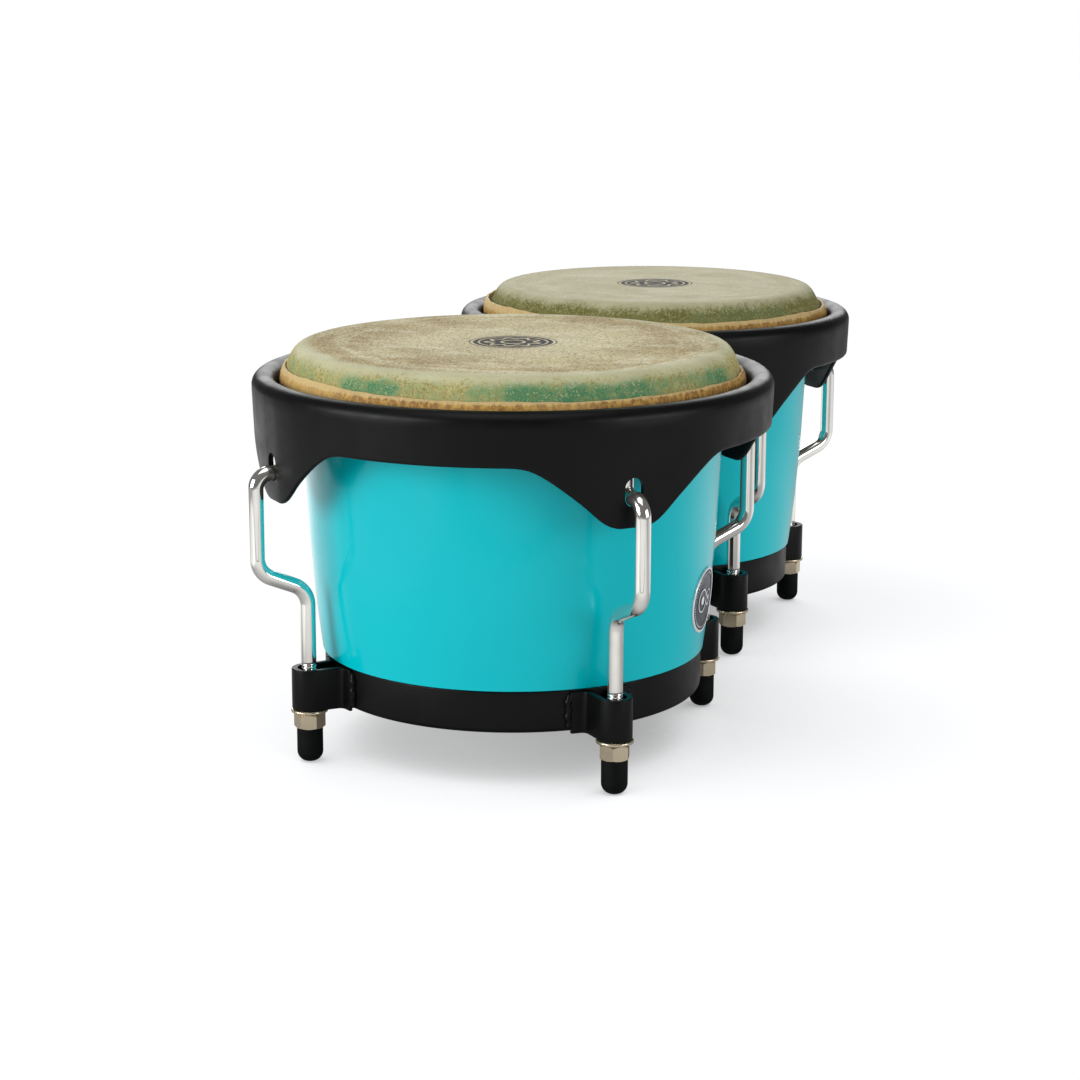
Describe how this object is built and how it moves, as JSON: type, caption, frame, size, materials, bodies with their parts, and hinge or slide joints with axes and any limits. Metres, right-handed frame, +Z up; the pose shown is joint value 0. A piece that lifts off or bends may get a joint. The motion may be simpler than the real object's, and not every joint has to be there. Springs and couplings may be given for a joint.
{
  "type": "pair of bongo drums",
  "caption": "Joined pair of tunable bongos: tapered shells, slotted rims, bent tuning rods that end in rubber feet, and a centre block.",
  "frame": {"origin": "centre of the pair's footprint, on the floor its rod feet stand on", "axes": "+X from the large drum (hembra) to the small one (macho), -Y the side with the badge, +Z up out of the playing heads"},
  "size_m": [0.4156, 0.218, 0.1695],
  "materials": {
    "shell": "high gloss, turquoise, moulded fibreglass",
    "skin": "rawhide-look synthetic head, faintly mottled, satin",
    "flap": "trimmed raw edge of the head, amber, matt",
    "black_steel": "satin black powder coat on sheet steel",
    "hoop_steel": "zinc plated round wire",
    "chrome": "polished chrome",
    "nickel": "warm nickel plate, semi-bright",
    "rubber": "matt black moulded rubber",
    "badge": "stamped metal, bright rim and gunmetal field",
    "block": "black lacquer"
  },
  "bodies": {
    "shells": {"hembra_shell": "shell", "hembra_head": "skin", "hembra_bottom_ring": "black_steel", "hembra_lug_bracket_1": "black_steel", "hembra_washer_1": "nickel", "hembra_lug_bracket_2": "black_steel", "hembra_washer_2": "nickel", "hembra_lug_bracket_3": "black_steel", "hembra_washer_3": "nickel", "hembra_lug_bracket_4": "black_steel", "hembra_washer_4": "nickel", "hembra_block_bolt_1": "nickel", "hembra_block_bolt_2": "nickel", "macho_shell": "shell", "macho_head": "skin", "macho_bottom_ring": "black_steel", "macho_lug_bracket_1": "black_steel", "macho_washer_1": "nickel", "macho_lug_bracket_2": "black_steel", "macho_washer_2": "nickel", "macho_lug_bracket_3": "black_steel", "macho_washer_3": "nickel", "macho_lug_bracket_4": "black_steel", "macho_washer_4": "nickel", "macho_block_bolt_1": "nickel", "macho_block_bolt_2": "nickel", "hembra_badge": "badge", "center_block": "block"},
    "hembra_tuning": {"hembra_rim": "black_steel", "hembra_skin_tuck": "flap", "hembra_flesh_hoop": "hoop_steel", "hembra_tuning_rod_1": "chrome", "hembra_foot_cap_1": "rubber", "hembra_tuning_rod_2": "chrome", "hembra_foot_cap_2": "rubber", "hembra_tuning_rod_3": "chrome", "hembra_foot_cap_3": "rubber", "hembra_tuning_rod_4": "chrome", "hembra_foot_cap_4": "rubber"},
    "macho_tuning": {"macho_rim": "black_steel", "macho_skin_tuck": "flap", "macho_flesh_hoop": "hoop_steel", "macho_tuning_rod_1": "chrome", "macho_foot_cap_1": "rubber", "macho_tuning_rod_2": "chrome", "macho_foot_cap_2": "rubber", "macho_tuning_rod_3": "chrome", "macho_foot_cap_3": "rubber", "macho_tuning_rod_4": "chrome", "macho_foot_cap_4": "rubber"},
    "hembra_nut_1_body": {"hembra_nut_1": "nickel"},
    "hembra_nut_2_body": {"hembra_nut_2": "nickel"},
    "hembra_nut_3_body": {"hembra_nut_3": "nickel"},
    "hembra_nut_4_body": {"hembra_nut_4": "nickel"},
    "macho_nut_1_body": {"macho_nut_1": "nickel"},
    "macho_nut_2_body": {"macho_nut_2": "nickel"},
    "macho_nut_3_body": {"macho_nut_3": "nickel"},
    "macho_nut_4_body": {"macho_nut_4": "nickel"}
  },
  "joints": [
    {"name": "hembra_tuning_slide", "type": "slide", "parent": "shells", "child": "hembra_tuning", "axis": [0, 0, -1], "range_m": [0, 0.0045]},
    {"name": "hembra_nut_1_turn", "type": "hinge", "parent": "shells", "child": "hembra_nut_1_body", "pos_m": [-0.03269, 0.06611, 0.0177], "axis": [0, 0, 1], "range_deg": [0, 1277]},
    {"name": "hembra_nut_2_turn", "type": "hinge", "parent": "shells", "child": "hembra_nut_2_body", "pos_m": [-0.16491, 0.06611, 0.0177], "axis": [0, 0, 1], "range_deg": [0, 1277]},
    {"name": "hembra_nut_3_turn", "type": "hinge", "parent": "shells", "child": "hembra_nut_3_body", "pos_m": [-0.16491, -0.06611, 0.0177], "axis": [0, 0, 1], "range_deg": [0, 1277]},
    {"name": "hembra_nut_4_turn", "type": "hinge", "parent": "shells", "child": "hembra_nut_4_body", "pos_m": [-0.03269, -0.06611, 0.0177], "axis": [0, 0, 1], "range_deg": [0, 1277]},
    {"name": "macho_tuning_slide", "type": "slide", "parent": "shells", "child": "macho_tuning", "axis": [0, 0, -1], "range_m": [0, 0.0045]},
    {"name": "macho_nut_1_turn", "type": "hinge", "parent": "shells", "child": "macho_nut_1_body", "pos_m": [0.16933, 0.05713, 0.0177], "axis": [0, 0, 1], "range_deg": [0, 1277]},
    {"name": "macho_nut_2_turn", "type": "hinge", "parent": "shells", "child": "macho_nut_2_body", "pos_m": [0.05507, 0.05713, 0.0177], "axis": [0, 0, 1], "range_deg": [0, 1277]},
    {"name": "macho_nut_3_turn", "type": "hinge", "parent": "shells", "child": "macho_nut_3_body", "pos_m": [0.05507, -0.05713, 0.0177], "axis": [0, 0, 1], "range_deg": [0, 1277]},
    {"name": "macho_nut_4_turn", "type": "hinge", "parent": "shells", "child": "macho_nut_4_body", "pos_m": [0.16933, -0.05713, 0.0177], "axis": [0, 0, 1], "range_deg": [0, 1277]}
  ],
  "couplings": [
    {"joint": "hembra_nut_1_turn", "follows": "hembra_tuning_slide", "rad_per_m": 4947.4},
    {"joint": "hembra_nut_2_turn", "follows": "hembra_tuning_slide", "rad_per_m": 4947.4},
    {"joint": "hembra_nut_3_turn", "follows": "hembra_tuning_slide", "rad_per_m": 4947.4},
    {"joint": "hembra_nut_4_turn", "follows": "hembra_tuning_slide", "rad_per_m": 4947.4},
    {"joint": "macho_nut_1_turn", "follows": "macho_tuning_slide", "rad_per_m": 4947.4},
    {"joint": "macho_nut_2_turn", "follows": "macho_tuning_slide", "rad_per_m": 4947.4},
    {"joint": "macho_nut_3_turn", "follows": "macho_tuning_slide", "rad_per_m": 4947.4},
    {"joint": "macho_nut_4_turn", "follows": "macho_tuning_slide", "rad_per_m": 4947.4}
  ]
}
